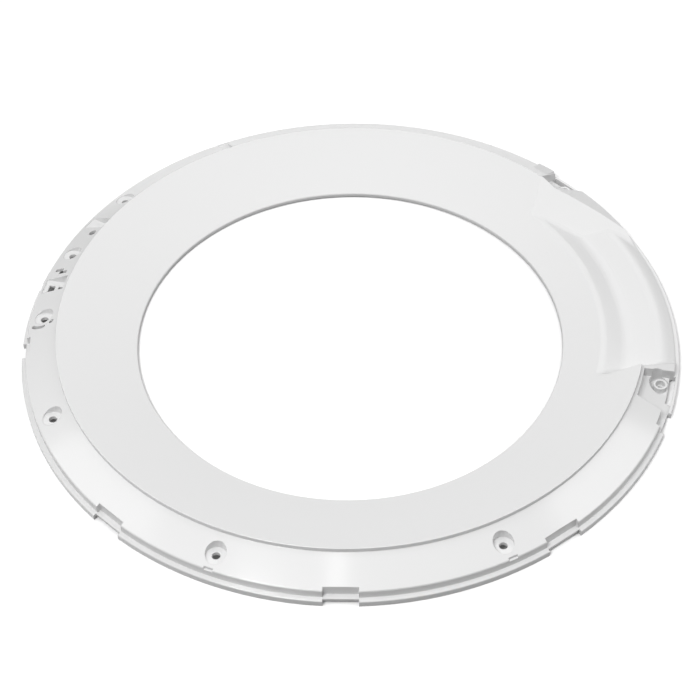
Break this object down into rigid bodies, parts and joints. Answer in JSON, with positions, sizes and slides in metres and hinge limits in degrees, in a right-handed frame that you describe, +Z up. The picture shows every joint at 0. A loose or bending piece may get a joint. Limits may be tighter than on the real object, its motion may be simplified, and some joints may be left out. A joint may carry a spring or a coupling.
{
  "type": "washing machine outer door frame",
  "caption": "Moulded white door ring of a front loading washing machine, with a dished face round the porthole, a stepped flange with screw points and clip notches, and a finger grip scoop.",
  "frame": {"origin": "centre of the ring on the plane that the rim lip stands on", "axes": "+Z up along the porthole axis, out of the visible face; +X towards the finger grip side, -X the hinge side"},
  "size_m": [0.471, 0.471, 0.0248],
  "materials": {
    "white_abs": "glossy white moulded ABS"
  },
  "bodies": {
    "root": {"outer_door_frame": "white_abs"}
  },
  "joints": []
}
